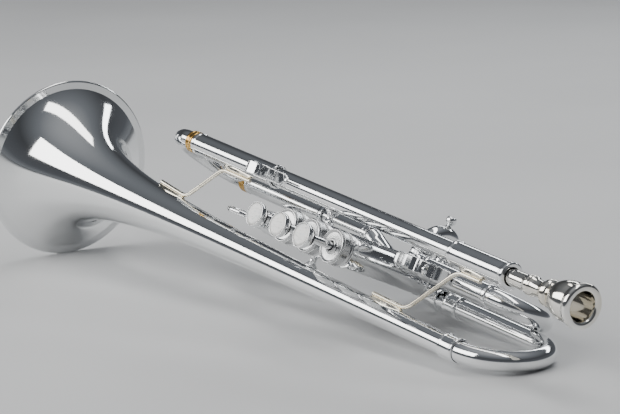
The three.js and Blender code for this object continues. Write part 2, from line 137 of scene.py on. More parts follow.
def plate(name, light, dark, rough=(0.05, 0.13), haze=7.0, fine=0.012, grain=900.0):
    m, nt, b, co = new_mat(name)
    b.inputs["Metallic"].default_value = 1.0
    big = noise(nt, co, haze, 5.0, 0.6)
    nt.links.new(ramp(nt, big, [(0.30, dark), (0.62, light)]), b.inputs["Base Color"])
    sm = noise(nt, co, haze * 9, 6.0, 0.65)
    nt.links.new(span(nt, sm, rough[0], rough[1], 0.3, 0.75), b.inputs["Roughness"])
    bump(nt, b, noise(nt, co, grain, 3.0, 0.6), fine, 0.0004)
    return m


SILVER = plate("silver_plate", (0.93, 0.935, 0.94), (0.80, 0.81, 0.815))
BELLSIL = plate("bell_silver", (0.93, 0.935, 0.94), (0.83, 0.845, 0.845), rough=(0.045, 0.10), haze=4.0)
WARM = plate("warm_plate", (0.90, 0.86, 0.76), (0.74, 0.66, 0.50), rough=(0.08, 0.18), haze=26.0)
MOUTH = plate("mouthpiece_plate", (0.93, 0.92, 0.89), (0.80, 0.75, 0.64), rough=(0.06, 0.14), haze=22.0)
AMBER = plate("amber_brass", (0.74, 0.46, 0.13), (0.42, 0.22, 0.06), rough=(0.14, 0.30), haze=60.0, fine=0.05)
SATIN = plate("satin_plate", (0.66, 0.665, 0.67), (0.44, 0.445, 0.45), rough=(0.18, 0.30), haze=40.0, fine=0.08, grain=2600.0)
NICKEL = plate("piston_alloy", (0.72, 0.71, 0.68), (0.58, 0.57, 0.55), rough=(0.2, 0.3))
STEEL = plate("spring_steel", (0.62, 0.63, 0.65), (0.48, 0.49, 0.51), rough=(0.2, 0.35))


def pearl_mat():
    m, nt, b, co = new_mat("mother_of_pearl")
    n1 = noise(nt, co, 230.0, 5.0, 0.6, (0.7, 1.0, 2.6))
    n2 = noise(nt, co, 620.0, 4.0, 0.5)
    mx = nt.nodes.new("ShaderNodeMix")
    mx.data_type = "FLOAT"
    mx.inputs[0].default_value = 0.3
    nt.links.new(n1, mx.inputs[2])
    nt.links.new(n2, mx.inputs[3])
    c = ramp(nt, mx.outputs[0], [(0.34, (0.50, 0.52, 0.53)), (0.44, (0.76, 0.75, 0.72)), (0.52, (0.88, 0.865, 0.84)), (0.60, (0.66, 0.70, 0.70)), (0.70, (0.84, 0.82, 0.80))])
    nt.links.new(c, b.inputs["Base Color"])
    nt.links.new(span(nt, n1, 0.16, 0.3, 0.3, 0.7), b.inputs["Roughness"])
    b.inputs["Specular IOR Level"].default_value = 0.6
    b.inputs["Coat Weight"].default_value = 0.45
    b.inputs["Coat Roughness"].default_value = 0.08
    bump(nt, b, n2, 0.04, 0.0003)
    return m


def soft_mat(name, a, c, rough, scale, strength):
    m, nt, b, co = new_mat(name)
    n = noise(nt, co, scale, 8.0, 0.75)
    nt.links.new(ramp(nt, n, [(0.32, a), (0.68, c)]), b.inputs["Base Color"])
    nt.links.new(span(nt, n, rough - 0.06, rough + 0.04, 0.3, 0.7), b.inputs["Roughness"])
    bump(nt, b, n, strength, 0.0006)
    return m


PEARL = pearl_mat()
FELT = soft_mat("felt", (0.012, 0.012, 0.014), (0.06, 0.06, 0.065), 0.94, 1800.0, 0.6)
CORK = soft_mat("cork", (0.30, 0.17, 0.07), (0.62, 0.42, 0.22), 0.85, 1400.0, 0.5)
CAD_FINISH = {"silver_plate": SILVER, "warm_plate": WARM, "amber_ferrule": AMBER, "satin_plate": SATIN, "piston_alloy": NICKEL, "spring_steel": STEEL,
              "pearl": PEARL, "felt": FELT, "cork": CORK}
for sub in frame["record"]["subparts"]:
    o = frame["nodes"].get(sub["node"])
    if o is not None:
        for s in o.material_slots:
            s.material = CAD_FINISH[sub["material_slot"]]


# ---------------------------------------------------------------- mesh helpers
class Mesh:
    def __init__(self):
        self.v, self.f = [], []

    def add(self, verts, faces):
        k = len(self.v)
        self.v += [tuple(p) for p in np.asarray(verts).reshape(-1, 3)]
        self.f += [tuple(i + k for i in fc) for fc in faces]
        return self


def basis(d):
    d = np.asarray(d, float) / np.linalg.norm(d)
    a = AU if abs(d[2]) < 0.9 else AF
    e1 = np.cross(a, d)
    e1 /= np.linalg.norm(e1)
    return d, e1, np.cross(d, e1)


def fillet(p, rad, n=3, closed=True):
    """Round the corners of a profile of (r, z) points."""
    p = [np.array(q, float) for q in p]
    out, N = [], len(p)
    for i in range(N):
        if not closed and i in (0, N - 1):
            out.append(p[i])
            continue
        a, c = p[i - 1] - p[i], p[(i + 1) % N] - p[i]
        la, lc = np.linalg.norm(a), np.linalg.norm(c)
        if la < 1e-9 or lc < 1e-9:
            continue
        cosv = float(np.dot(a, c) / la / lc)
        d = min(rad, 0.45 * la, 0.45 * lc)
        if cosv < -0.985 or d < 0.02:
            out.append(p[i])
            continue
        for k in range(n + 1):
            t = k / n
            out.append(p[i] + a / la * d * (1 - t) ** 2 + c / lc * d * t * t)
    return [tuple(q) for q in out]


def spline(p, n=5):
    """Smooth curve through a run of (r, z) points, ends kept."""
    p = [np.array(q, float) for q in p]
    out = []
    for i in range(len(p) - 1):
        a, b = p[i], p[i + 1]
        pa, pb = p[max(i - 1, 0)], p[min(i + 2, len(p) - 1)]
        h = float(np.linalg.norm(b - a))
        ta = (b - pa) / max(1e-9, np.linalg.norm(b - pa)) * h
        tb = (pb - a) / max(1e-9, np.linalg.norm(pb - a)) * h
        for k in range(n):
            t = k / n
            out.append((2 * t ** 3 - 3 * t * t + 1) * a + (t ** 3 - 2 * t * t + t) * ta + (-2 * t ** 3 + 3 * t * t) * b + (t ** 3 - t * t) * tb)
    out.append(p[-1])
    return [tuple(q) for q in out]


def lathe(m, prof, origin, d, seg=64, wave=None):
    """Turn a profile of (radius, distance) about an axis. The profile closes on itself, or on the axis."""
    d, e1, e2 = basis(d)
    origin = np.asarray(origin, float)
    rings, verts = [], []
    for r, z in prof:
        if r < 1e-6:
            rings.append([len(verts)])
            verts.append(origin + d * z)
        else:
            ids = []
            for k in range(seg):
                t = 2 * math.pi * k / seg
                rr = r + (wave(r, z, k) if wave else 0.0)
                ids.append(len(verts))
                verts.append(origin + d * z + rr * (math.cos(t) * e1 + math.sin(t) * e2))
            rings.append(ids)
    faces = []
    open_ends = prof[0][0] < 1e-6 and prof[-1][0] < 1e-6
    n = len(rings)
    for i in range(n - 1 if open_ends else n):
        a, b = rings[i], rings[(i + 1) % n]
        if len(a) == 1 and len(b) == 1:
            continue
        for k in range(seg):
            k2 = (k + 1) % seg
            if len(a) == 1:
                faces.append((a[0], b[k], b[k2]))
            elif len(b) == 1:
                faces.append((a[k], b[0], a[k2]))
            else:
                faces.append((a[k], b[k], b[k2], a[k2]))
    m.add(verts, faces)
    return m


def arc(a, b, d, n=32):
    a, b, d = (np.asarray(x, float) for x in (a, b, d))
    c, ra = (a + b) / 2, (a - b) / 2
    d = d / np.linalg.norm(d) * np.linalg.norm(ra)
    return [c + ra * math.cos(math.pi * k / n) + d * math.sin(math.pi * k / n) for k in range(n + 1)]


def bent(pts, rad, n=8):
    pts = [np.asarray(p, float) for p in pts]
    out = [pts[0]]
    for i in range(1, len(pts) - 1):
        a, c = pts[i - 1] - pts[i], pts[i + 1] - pts[i]
        la, lc = np.linalg.norm(a), np.linalg.norm(c)
        d = min(rad, 0.45 * la, 0.45 * lc)
        for k in range(n + 1):
            t = k / n
            out.append(pts[i] + a / la * d * (1 - t) ** 2 + c / lc * d * t * t)
    out.append(pts[-1])
    return out


def frames(pts):
    pts = [np.asarray(p, float) for p in pts]
    T = []
    for i in range(len(pts)):
        a = pts[min(i + 1, len(pts) - 1)] - pts[max(i - 1, 0)]
        T.append(a / np.linalg.norm(a))
    _, n, _ = basis(T[0])
    N = [n]
    for i in range(1, len(pts)):
        n = N[-1] - T[i] * np.dot(N[-1], T[i])
        N.append(n / np.linalg.norm(n))
    return pts, T, N, [np.cross(t, n) for t, n in zip(T, N)]


def sweep(m, pts, R, rin=0.0, seg=40, dome=0.0):
    """Round tube or wire along points. R may be a function of the station index."""
    pts, T, N, B = frames(pts)
    rings, verts = [], []

    def ring(i, r, shift=0.0):
        ids = []
        for k in range(seg):
            t = 2 * math.pi * k / seg
            ids.append(len(verts))
            verts.append(pts[i] + T[i] * shift + r * (math.cos(t) * N[i] + math.sin(t) * B[i]))
        return ids

    rad = R if callable(R) else (lambda i: R)
    if dome:
        for a in (0.98, 0.80, 0.5, 0.2):
            rings.append(ring(0, rad(0) * math.sqrt(max(0.0, 1 - a * a)), -rad(0) * dome * a))
    for i in range(len(pts)):
        rings.append(ring(i, rad(i)))
    last = len(pts) - 1
    if dome:
        for a in (0.2, 0.5, 0.80, 0.98):
            rings.append(ring(last, rad(last) * math.sqrt(max(0.0, 1 - a * a)), rad(last) * dome * a))
    inner = [ring(i, rin) for i in range(len(pts))][::-1] if rin else []
    faces = []
    seq = rings + inner
    for a, b in zip(seq, seq[1:] + (seq[:1] if rin else [])):
        for k in range(seg):
            k2 = (k + 1) % seg
            faces.append((a[k], a[k2], b[k2], b[k]))
    if not rin:
        faces.append(tuple(rings[0][::-1]))
        faces.append(tuple(rings[-1]))
    m.add(verts, faces)
    return m


def strap(m, path, l0, width, t, taper=(0.0, 0.0), c=0.5, n=4):
    """Flat strap with rounded edges along (f, u) points, centred on l0 across L. taper is the length of the rounded ends."""
    P = [V(f, l0, u) for f, u in path]
    s = [0.0]
    for a, b in zip(P, P[1:]):
        s.append(s[-1] + float(np.linalg.norm(b - a)))
    total = s[-1]
    rings, verts = [], []
    for i, p in enumerate(P):
        a = P[min(i + 1, len(P) - 1)] - P[max(i - 1, 0)]
        T = a / np.linalg.norm(a)
        Nn = np.cross(T, AL)
        w = width / 2
        for end, dist in ((0, s[i]), (1, total - s[i])):
            if taper[end] and dist < taper[end]:
                w *= max(0.12, math.sqrt(max(0.0, 1 - (1 - dist / taper[end]) ** 2)))
        cc = min(c, w * 0.6, t * 0.48)
        ids = []
        for sx, sy, a0 in ((1, 1, 0), (-1, 1, 90), (-1, -1, 180), (1, -1, 270)):
            for k in range(n + 1):
                g = math.radians(a0 + 90 * k / n)
                x, y = sx * (w - cc) + cc * math.cos(g), sy * (t / 2 - cc) + cc * math.sin(g)
                ids.append(len(verts))
                verts.append(p + AL * x + Nn * y)
        rings.append(ids)
    K = len(rings[0])
    faces = [(a[k], a[(k + 1) % K], b[(k + 1) % K], b[k]) for a, b in zip(rings, rings[1:]) for k in range(K)]
    faces += [tuple(rings[0][::-1]), tuple(rings[-1])]
    m.add(verts, faces)
    return m


def saddle(m, axis, radius, centre, theta, half, wide, thick, along=0, seg=40, rows=7, power=2.0, sink=0.15):
    """Lens-shaped plate wrapped on a tube that runs along F at (l, u). radius is a number or a function of f."""
    rf = radius if callable(radius) else (lambda f: radius)
    al, au = axis
    verts, top, bot = [], [], []

    def put(f, ang, r):
        verts.append((f, al + r * math.cos(ang), au + r * math.sin(ang)))
        return len(verts) - 1

    for side, store in ((1, top), (0, bot)):
        for k in range(rows):
            rho = 1.0 - k / (rows - 1) * 0.999
            ids = []
            for j in range(seg):
                p = 2 * math.pi * j / seg
                x = math.copysign(abs(math.cos(p)) ** (2 / power), math.cos(p)) * half * rho
                y = math.sin(p) * wide * rho
                f = centre + x
                r0 = rf(f)
                edge = 1 - rho ** 6
                r = r0 + (thick * (0.25 + 0.75 * math.sqrt(max(0.0, edge))) if side else -sink)
                ids.append(put(f, theta + y / r0, r))
            store.append(ids)
    faces = []
    for store in (top, bot):
        for a, b in zip(store, store[1:]):
            faces += [(a[j], a[(j + 1) % seg], b[(j + 1) % seg], b[j]) for j in range(seg)]
        faces.append(tuple(store[-1]))
    a, b = top[0], bot[0]
    faces += [(a[j], b[j], b[(j + 1) % seg], a[(j + 1) % seg]) for j in range(seg)]
    m.add(verts, faces)
    return m


def seat(m, *stations, r=9.3):
    """Butt tube ends against the casings: points inside a casing wall move out to it."""
    out = []
    for p in m.v:
        p = list(p)
        for f in stations:
            x, y = p[0] - f, p[1]
            q = math.hypot(x, y)
            if q < r:
                if q < 1e-6:
                    x, y, q = 1.0, 0.0, 1.0
                p[0], p[1] = f + x / q * r, y / q * r
        out.append(tuple(p))
    m.v = out
    return m


def make(name, m, mat, body, reps=(), sharp=34.0):
    me = bpy.data.meshes.new(name)
    me.from_pydata([tuple(p) for p in row(m.v)], [], m.f)
    bm = bmesh.new()
    bm.from_mesh(me)
    bmesh.ops.remove_doubles(bm, verts=bm.verts, dist=1e-7)
    bmesh.ops.recalc_face_normals(bm, faces=bm.faces)
    lim = math.radians(sharp)
    for f in bm.faces:
        f.smooth = True
    for e in bm.edges:
        if len(e.link_faces) == 2 and e.calc_face_angle(0.0) > lim:
            e.smooth = False
    bm.to_mesh(me)
    bm.free()
    me.materials.append(mat)
    o = bpy.data.objects.new(name, me)
    bpy.context.scene.collection.objects.link(o)
    wn = o.modifiers.new("weighted_normals", "WEIGHTED_NORMAL")
    wn.keep_sharp = True
    wn.weight = 60
    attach(o, body)
    if reps:
        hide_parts(*reps)
    return o


# ---------------------------------------------------------------- dimensions (mm)
PITCH = 26.0
LEAD, LOW, BELL, BRANCH = (-24.5, -32.0), (-12.5, -84.0), (27.0, -32.0), (7.0, -84.0)
RIM, RR = 334.0, 61.2
ROOT = "trumpet_body"
LO, DO, BO, RO = V(0, *LEAD), V(0, *LOW), V(0, *BELL), V(0, *BRANCH)
bow_span = math.hypot(BELL[0] - BRANCH[0], BELL[1] - BRANCH[1])
bowF = -170.0 + 6.3 + bow_span / 2
slide_span = math.hypot(LEAD[0] - LOW[0], LEAD[1] - LOW[1])
slideF = 236.0 - 6.0 - slide_span / 2


def bellR(f):
    return RR * (23.0 / (RIM - f + 23.0)) ** 0.74


# ---------------------------------------------------------------- bell and bell bow
st = [RIM - 2.6 - 400 * 0 - (k / 70.0) ** 2.6 * (RIM - 2.6 - (bowF + 4.2)) for k in range(71)]
outer = [(bellR(f), f) for f in st]
inner = [(bellR(f) - 0.7, f) for f in reversed(st)]
bead = []
for k in range(13):
    a = math.radians(200 - 300 * k / 12)
    bead.append((RR - 0.15 + 1.05 * math.cos(a), RIM - 1.15 + 1.05 * math.sin(a)))
m = Mesh()
lathe(m, inner + bead + outer, BO, AF, 144)
make("bell_flare", m, BELLSIL, ROOT, ["bell"], 40)

m = Mesh()
path = [V(bowF + 4, *BELL)] + arc(V(bowF, *BELL), V(bowF, *BRANCH), -AF, 40) + [V(bowF * (1 - k / 6) - 56.0 * k / 6, *BRANCH) for k in range(1, 7)]
sweep(m, path, 6.3, 5.5, 48)
make("bell_bow_tube", m, SILVER, ROOT, ["bell_bow"])


def ferrule(m, origin, a, b, R, r, d=AF, bead=0.35, seg=64):
    """Joint ring with a raised bead at each end."""
    e = 1.7
    p = [(r, a), (R - 0.3, a), (R + bead, a + 0.5), (R + bead, a + e), (R, a + e + 0.6), (R, b - e - 0.6), (R + bead, b - e), (R + bead, b - 0.5), (R - 0.3, b), (r, b)]
    return lathe(m, fillet(p, 0.45), origin, d, seg)


m = Mesh()
ferrule(m, BO, bowF, bowF + 14, 7.35, 6.5)
make("bell_bow_upper_ring", m, SILVER, ROOT, ["bell_bow_upper_ferrule"])
m = Mesh()
ferrule(m, RO, -62, -49.5, 7.25, 6.3)
make("bell_bow_lower_ring", m, SILVER, ROOT, ["bell_bow_lower_ferrule"])
m = Mesh()
lathe(m, fillet([(5.4, -55.6), (6.2, -55.6), (6.2, -27), (5.4, -27)], 0.15), RO, AF, 48)
lathe(m, fillet([(5.8, -41.5), (7.1, -41.5), (7.3, -39.6), (6.9, -34), (5.8, -34)], 0.6), RO, AF, 48)
seat(m, -PITCH)
make("bell_branch_tube", m, SILVER, ROOT, ["bell_branch"])

# ---------------------------------------------------------------- valves
for n in (1, 2, 3):
    f = (n - 2) * PITCH
    o = V(f, 0, 0)
    m = Mesh()
    p = [(8.6, -120.7), (9.4, -120.7), (9.4, -114.9), (9.8, -114.7), (9.8, -96.6), (10.15, -96.2), (10.15, -94.9), (9.8, -94.5),
         (9.8, -74.6), (10.25, -74.1), (10.25, -72.4), (9.8, -71.9), (9.8, -13.8), (10.3, -13.3), (10.45, -11.0), (10.45, -9.5), (9.4, -9.2), (9.4, -1.95), (8.6, -1.95)]
    lathe(m, fillet(p, 0.3), o, AU, 72)
    make(f"valve_{n}_casing_tube", m, SILVER, ROOT, [f"valve_{n}_casing"])

    def knurl(r, z, k, lo=-6.7, hi=-2.8):
        return 0.11 * (1 if k % 2 else -1) if (lo < z < hi and 10.3 < r < 10.8) else 0.0

    m = Mesh()
    p = [(3.0, -1.5), (3.0, 0.2), (3.5, 0.5), (4.4, 0.4), (4.8, -0.8), (9.0, -0.9), (9.6, -0.2), (10.2, 0.0), (11.0, -0.35), (11.1, -1.5), (10.6, -2.2), (10.55, -2.9), (10.55, -6.6), (10.6, -7.0), (11.2, -7.5), (11.2, -8.4), (10.6, -8.7), (9.75, -8.7), (9.75, -1.5)]
    lathe(m, fillet(p, 0.35), o, AU, 160, knurl)
    make(f"valve_{n}_top_cap_turned", m, SATIN, ROOT, [f"valve_{n}_top_cap"], 50)
    m = Mesh()

    def knurl2(r, z, k):
        return 0.11 * (1 if k % 2 else -1) if (-121.5 < z < -117.9 and 10.3 < r < 10.8) else 0.0

    p = [(2.2, -121), (9.75, -121), (9.75, -115.6), (10.5, -115.6), (11.15, -116.0), (11.15, -117.2), (10.55, -117.7), (10.55, -118.2), (10.55, -121.0), (11.15, -121.8), (11.15, -122.9), (10.3, -123.9), (5.0, -123.9), (4.2, -124.4), (4.0, -126.4), (2.2, -126.6)]
    lathe(m, fillet(p, 0.4), o, AU, 160, knurl2)
    make(f"valve_{n}_bottom_cap_turned", m, SATIN, ROOT, [f"valve_{n}_bottom_cap"], 50)
    b = f"valve_{n}"
    m = Mesh()
    p = [(0, -87), (6.0, -87), (6.0, -90), (8.3, -90), (8.3, -24), (0, -24)]
    lathe(m, fillet(p, 0.5, closed=False), o, AU, 48)
    make(f"valve_{n}_piston_body", m, NICKEL, b, [f"valve_{n}_piston"])
    m = Mesh()
    p = [(0, -23.7), (2.4, -23.7), (2.4, 17.4), (3.0, 17.9), (5.4, 18.3), (6.9, 19.2), (7.7, 20.6), (8.0, 22.2), (8.0, 23.2), (7.8, 23.8), (7.5, 23.9), (7.3, 23.6), (7.25, 22.4), (0, 22.4)]
    lathe(m, fillet(p, 0.4, closed=False), o, AU, 64)
    make(f"valve_{n}_button_cup", m, SILVER, b, [f"valve_{n}_finger_button"])
    m = Mesh()
    p = [(2.6, 16.8), (5.3, 16.8), (5.7, 17.5), (5.3, 18.2), (2.6, 18.2)]
    lathe(m, fillet(p, 0.5), o, AU, 48)
    make(f"valve_{n}_felt_washer", m, FELT, b, [f"valve_{n}_button_felt"])
    m = Mesh()
    p = [(0, 22.5), (7.15, 22.5), (7.15, 23.35), (6.9, 23.7), (6.0, 23.9), (3.0, 24.0), (0, 24.0)]
    lathe(m, fillet(p, 0.3, closed=False), o, AU, 64)
    make(f"valve_{n}_pearl_inlay", m, PEARL, b, [f"valve_{n}_pearl"])
    m = Mesh()
    coil = [V(f + 6.2 * math.cos(2 * math.pi * k / 24), 6.2 * math.sin(2 * math.pi * k / 24), -120.1 + 12.0 * k / 144) for k in range(145)]
    sweep(m, coil, 0.5, 0, 8)
    make(f"valve_{n}_coil_spring", m, STEEL, ROOT, [f"valve_{n}_spring"])

for a, f, u in (("12", -13.0, -62.0), ("23", 13.0, -88.0)):
    m = Mesh()
    lathe(m, [(4.9, -5.4), (6.1, -5.4), (5.8, -2.4), (5.8, 2.4), (6.1, 5.4), (4.9, 5.4)], V(f, 0, u), AF, 48)
    seat(m, f - PITCH / 2, f + PITCH / 2)
    make(f"casing_crossover_{a}_tube", m, SILVER, ROOT, [f"casing_crossover_{a}"])

# ---------------------------------------------------------------- leadpipe, receiver, mouthpiece
m = Mesh()
lathe(m, fillet([(4.9, -128), (6.0, -128), (6.0, 112), (4.9, 112)], 0.2), LO, AF, 64)
make("leadpipe_tube", m, SILVER, ROOT, ["leadpipe"])
m = Mesh()
p = [(5.6, -153.6), (7.6, -153.6), (8.3, -152.9), (8.4, -151.4), (8.0, -150.4), (7.45, -150.0), (7.45, -148.8), (7.3, -148.4), (7.3, -101.6), (7.65, -101.2), (7.8, -100.4),
     (7.75, -99.2), (7.3, -98.5), (6.9, -98.4), (6.2, -98.3), (6.2, -128.3), (5.45, -128.6)]
lathe(m, fillet(p, 0.4), LO, AF, 72)
make("mouthpiece_receiver_tube", m, SILVER, ROOT, ["mouthpiece_receiver"])
m = Mesh()
shank = fillet([(5.0, -158), (5.15, -168.5), (5.6, -170.2), (6.1, -171.4), (6.1, -172.6), (5.7, -173.4), (6.1, -174.2), (6.1, -175.2), (5.4, -176.4)], 0.4, closed=False)
stem = spline([(5.15, -177.4), (5.0, -180.5), (5.15, -183.6), (5.9, -185.8), (7.2, -187.0)], 4)
collar = fillet([(7.9, -188.2), (8.2, -189.2), (8.2, -191.0), (7.8, -192.2), (7.1, -192.8)], 0.5, closed=False)
bowl = spline([(7.0, -193.6), (7.7, -195.0), (9.0, -197.0), (10.3, -199.6), (11.3, -202.6), (11.95, -206.0), (12.15, -209.2), (11.95, -212.0), (11.85, -213.4)], 4)
rim = spline([(12.2, -214.6), (12.9, -215.7), (13.4, -216.9), (13.5, -218.0), (13.1, -219.1), (12.2, -219.8), (11.2, -220.0), (10.2, -219.85), (9.3, -219.3), (8.7, -218.3), (8.4, -216.8), (8.25, -214.6), (7.95, -211.6), (7.3, -208.6), (6.3, -206.2), (4.9, -204.1), (3.4, -202.4), (2.3, -201.2), (1.9, -200.2)], 4)
lathe(m, [(2.0, -172), (3.9, -133.6), (4.75, -133.6)] + shank + stem + collar + bowl + rim, LO, AF, 112)
make("mouthpiece_turned", m, MOUTH, "mouthpiece_body", ["mouthpiece"])

# finger hook
m = Mesh()
path = [(77.5 + 1.35 * k, -24.4) for k in range(10)] + [(91.4 + 8.5 * math.cos(math.radians(-82 + 222 * k / 36)), -15.0 + 8.5 * math.sin(math.radians(-82 + 222 * k / 36))) for k in range(37)]
path = [(f, u - (0.7 * (1 - i / 10) if i < 10 else 0)) for i, (f, u) in enumerate(path)]
strap(m, path, LEAD[0], 8.4, 1.7, (3.0, 4.0), 0.7)
saddle(m, LEAD, 6.05, 84.5, math.pi / 2, 8.0, 4.2, 1.2, power=2.6)
make("finger_hook_band", m, SILVER, ROOT, ["finger_hook"])


# ---------------------------------------------------------------- main tuning slide
def sleeve(m, origin, d, a, b, R=7.0, r=6.25, root=True):
    """Outer slide sleeve: stout ring at the root, thin bead at the open end."""
    s = 1 if b > a else -1
    p = [(r, a), (R + 0.35, a), (R + 0.6, a + s * 0.8), (R + 0.6, a + s * 2.6), (R + 0.2, a + s * 3.8), (R, a + s * 4.4), (R, b - s * 3.4), (R + 0.4, b - s * 2.9), (R + 0.4, b - s * 0.6), (R + 0.1, b), (r, b)]
    return lathe(m, fillet(p, 0.4), origin, d, 64)


m = Mesh()
sleeve(m, LO, AF, 94, 191.3)
make("tuning_sleeve_upper_tube", m, SILVER, ROOT, ["tuning_sleeve_upper"])
m = Mesh()
sleeve(m, DO, AF, 98, 191.3)
make("tuning_sleeve_lower_tube", m, SILVER, ROOT, ["tuning_sleeve_lower"])
m = Mesh()
path = bent([V(116, *LOW), V(47, *LOW), V(27.5, -3.0, LOW[1])], 8, 10)
sweep(m, path, 6.0, 5.2, 48)
ferrule(m, DO, 47, 53.5, 6.75, 5.9, AF, 0.3)
seat(m, PITCH)
make("valve_3_inlet_tube_bent", m, SILVER, ROOT, ["valve_3_inlet_tube"])
m = Mesh()
path = [V(124 + (slideF - 124) * k / 6, *LEAD) for k in range(6)] + arc(V(slideF, *LEAD), V(slideF, *LOW), AF, 48) + [V(slideF - (slideF - 124) * k / 6, *LOW) for k in range(1, 7)]
sweep(m, path, 6.0, 5.3, 48)
mid = (np.array([slideF, *LEAD]) + np.array([slideF, *LOW])) / 2
# nipple and hinge post of the water key
nd = V(0.578, 0, -0.816)
lathe(m, fillet([(1.2, 30.5), (2.3, 30.5), (2.1, 32.9), (1.2, 32.9)], 0.2), V(slideF, LOW[0], mid[2]), nd, 24)
for s in (-1, 1):
    lathe(m, fillet([(0, -0.55), (2.1, -0.55), (2.1, 0.55), (0, 0.55)], 0.2, closed=False), V(207.7, LOW[0] + s * 1.4, LOW[1] - 7.6), AL, 24)
    lathe(m, fillet([(0, 5.2), (1.5, 5.2), (1.1, 9.4), (0, 9.4)], 0.2, closed=False), V(207.7, LOW[0] + s * 1.0, LOW[1]), -AU, 20)
make("tuning_slide_crook", m, SILVER, "main_tuning_slide", ["tuning_slide"])
for w, O in (("upper", LO), ("lower", DO)):
    m = Mesh()
    ferrule(m, O, 191.8, 198.4, 7.05, 6.05, AF, 0.3)
    make(f"tuning_slide_{w}_ring", m, AMBER, "main_tuning_slide", [f"tuning_slide_{w}_ferrule"])
d = np.array([0, LOW[0] - LEAD[0], LOW[1] - LEAD[1]])
d /= np.linalg.norm(d)
s = slide_span
m = Mesh()
p = [(0, 7.1), (3.6, 7.1), (4.0, 7.9), (3.0, 8.8), (2.0, 10.6), (1.7, 14), (1.6, s / 2 - 4), (1.9, s / 2 - 2.6), (2.7, s / 2 - 1.5), (2.9, s / 2), (2.7, s / 2 + 1.5), (1.9, s / 2 + 2.6), (1.6, s / 2 + 4), (1.7, s - 14), (2.0, s - 10.6), (3.0, s - 8.8), (4.0, s - 7.9), (3.6, s - 7.1), (0, s - 7.1)]
lathe(m, fillet(p, 0.6, closed=False), V(195.1, *LEAD), d, 40)
make("tuning_slide_cross_brace", m, SILVER, "main_tuning_slide", ["tuning_slide_brace"])
# water key lever and cork
m = Mesh()
path = [(168.6, -99.9), (172, -99.9), (180, -99.0), (190, -97.7), (200, -96.4), (208, -95.35), (213, -94.0), (217, -92.4), (220, -90.6), (222.6, -88.3)]
dense = []
for (a, b), (c, e) in zip(path, path[1:]):
    dense += [(a + (c - a) * k / 4, b + (e - b) * k / 4) for k in range(4)]
dense.append(path[-1])
strap(m, dense, LOW[0], 5.0, 1.3, (4.5, 1.5), 0.5)
lathe(m, fillet([(0, 34.9), (3.1, 34.9), (3.1, 35.7), (0, 35.7)], 0.25, closed=False), V(slideF, LOW[0], mid[2]), nd, 28)
lathe(m, fillet([(0, -3.2), (1.1, -3.2), (1.1, 3.2), (0, 3.2)], 0.3, closed=False), V(207.7, LOW[0], -95.3), AL, 20)
make("water_key_arm", m, SILVER, "water_key", ["water_key_lever"])
m = Mesh()
lathe(m, fillet([(0, 33.05), (2.5, 33.05), (2.6, 34.0), (2.5, 34.9), (0, 34.9)], 0.3, closed=False), V(slideF, LOW[0], mid[2]), nd, 32)
make("water_key_cork_pad", m, CORK, "water_key", ["water_key_cork"])


# ---------------------------------------------------------------- valve slides
def valve_slide(name, legs, d, f, start, end, leg_end, grip, body, extra=None, ring=6.5):
    for w, (l, u) in zip(("upper", "lower"), legs):
        m = Mesh()
        sleeve(m, V(f, l, u), d, start, end)
        lathe(m, spline([(0.0, start - 4.6), (2.6, start - 4.2), (4.8, start - 2.9), (6.2, start - 1.0), (6.6, start + 0.6), (6.6, start + 2.0), (5.6, start + 2.4), (0.0, start + 2.4)], 4), V(f, l, u), d, 56)
        seat(m, f)
        make(f"{name}_sleeve_{w}_tube", m, SILVER, ROOT, [f"{name}_sleeve_{w}"])
    m = Mesh()
    a, b = (V(f, *leg) for leg in legs)
    d = np.asarray(d, float)
    pts = [a + d * (start + grip)] + [a + d * (start + grip + (leg_end - start - grip) * k / 5) for k in range(1, 5)] + arc(a + d * leg_end, b + d * leg_end, d, 36) + [b + d * (leg_end - (leg_end - start - grip) * k / 5) for k in range(1, 6)]
    sweep(m, pts, 6.0, 5.3, 48)
    for leg in (a, b):
        ferrule(m, leg, end + 0.5, end + ring, 6.85, 5.9, d, 0.4)
    if extra:
        extra(m)
    make(f"{name}_crook", m, SILVER, body, [name])


FIRST, THIRD, SECOND = [(-8, -60), (-5, -96)], [(6, -58), (4.5, -98)], [(0, -86.5), (0, -107.5)]
SECOND_DIR = V(-0.1, -0.995, 0) / math.hypot(0.1, 0.995)


def knob(m):
    p = [(0, 35.2), (2.4, 35.2), (1.7, 36.4), (1.5, 37.2), (2.0, 37.8), (3.0, 38.4), (3.35, 39.6), (3.35, 40.8), (3.0, 41.9), (2.0, 42.6), (0, 42.8)]
    lathe(m, spline(p, 3), V(0, 0, -97), SECOND_DIR, 40)


# first slide: the outer legs move, over tubes fixed to the casing
for w, (l, u) in zip(("upper", "lower"), FIRST):
    m = Mesh()
    lathe(m, fillet([(5.3, 8.6), (6.0, 8.6), (6.0, 76), (5.3, 76)], 0.15), V(-PITCH, l, u), -AF, 56)
    lathe(m, fillet([(5.8, 9.4), (6.9, 9.4), (7.1, 10.6), (6.8, 12.4), (6.2, 13.6), (5.8, 13.6)], 0.5), V(-PITCH, l, u), -AF, 56)
    lathe(m, spline([(0.0, 4.6), (2.6, 5.0), (4.6, 6.2), (5.7, 8.0), (6.0, 9.6), (5.2, 10.4), (0.0, 10.4)], 4), V(-PITCH, l, u), -AF, 56)
    seat(m, -PITCH)
    make(f"first_slide_inner_tube_{w}_pipe", m, SILVER, ROOT, [f"first_slide_inner_tube_{w}"])
m = Mesh()
d1, S0, S1 = -AF, 18.2, 84.0
a1, b1 = (V(-PITCH, *leg) for leg in FIRST)
